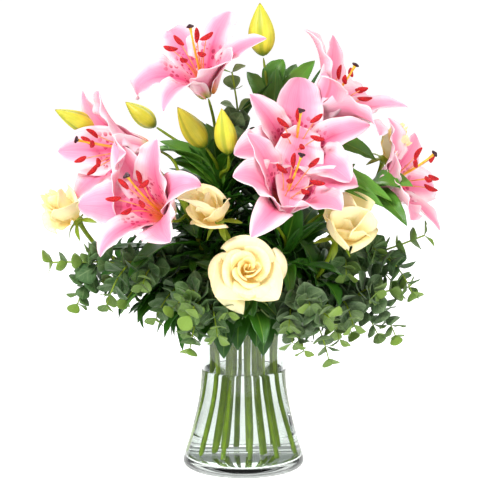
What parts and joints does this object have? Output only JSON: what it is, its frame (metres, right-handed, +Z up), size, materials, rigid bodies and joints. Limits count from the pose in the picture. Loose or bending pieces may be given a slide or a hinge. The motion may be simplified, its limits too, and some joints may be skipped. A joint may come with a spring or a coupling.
{
  "type": "lilies in a vase",
  "caption": "Hand-tied bouquet of pink lilies and buds with cream roses and round-leaved eucalyptus, standing in a waisted clear glass vase of water.",
  "frame": {"origin": "centre of the vase's flat underside, on the table", "axes": "+Z up along the vase's axis; -Y is the bouquet's front, where most of the blooms face; +X to the right seen from the front"},
  "size_m": [0.4776, 0.333, 0.552],
  "materials": {
    "glass": "clear polished glass with a faint green tint in the base",
    "water": "clear still water",
    "stem": "fresh green stem, slightly waxy, brighter olive under water",
    "leaf": "glossy lily leaf with long parallel veins",
    "eucalyptus": "matt grey-green round leaf with a powdery bloom",
    "petal": "velvety pink tepal, white at the edge, deep pink along the midrib, spotted, with an orange throat",
    "anther": "powdery red anther on a pale filament; yellow style with a near-black stigma",
    "bud": "closed bud, yellow with green seams",
    "rose": "soft cream rose petals"
  },
  "bodies": {
    "root": {"vase": "glass", "water": "water", "lily_stem_left": "stem", "lily_stem_middle": "stem", "lily_stem_back": "stem", "lily_stem_right": "stem", "rose_front_stem": "stem", "rose_inner_left_stem": "stem", "rose_right_stem": "stem", "rose_far_left_stem": "stem", "rose_upper_right_stem": "stem", "lily_top_left_stamens": "anther", "lily_top_right_stamens": "anther", "lily_left_stamens": "anther", "lily_front_left_stamens": "anther", "lily_back_centre_stamens": "anther", "lily_front_centre_stamens": "anther", "lily_right_stamens": "anther", "lily_top_left": "petal", "lily_top_right": "petal", "lily_left": "petal", "lily_front_left": "petal", "lily_back_centre": "petal", "lily_front_centre": "petal", "lily_right": "petal", "bud_top": "bud", "bud_left": "bud", "bud_left_back": "bud", "bud_middle": "bud", "bud_front": "bud", "rose_front": "rose", "rose_inner_left": "rose", "rose_right": "rose", "rose_far_left": "rose", "rose_upper_right": "rose", "eucalyptus_left": "eucalyptus", "eucalyptus_right": "eucalyptus", "eucalyptus_low_right": "eucalyptus", "eucalyptus_front": "eucalyptus", "eucalyptus_crown": "eucalyptus", "eucalyptus_front_right": "eucalyptus", "eucalyptus_back": "eucalyptus", "lily_leaf_1": "leaf", "lily_leaf_2": "leaf", "lily_leaf_3": "leaf", "lily_leaf_4": "leaf", "lily_leaf_5": "leaf", "lily_leaf_6": "leaf", "lily_leaf_7": "leaf", "lily_leaf_8": "leaf", "lily_leaf_9": "leaf", "lily_leaf_10": "leaf", "lily_leaf_11": "leaf", "lily_leaf_12": "leaf", "lily_leaf_13": "leaf", "lily_leaf_14": "leaf", "lily_leaf_15": "leaf", "lily_leaf_16": "leaf", "lily_leaf_17": "leaf", "lily_leaf_18": "leaf"}
  },
  "joints": []
}
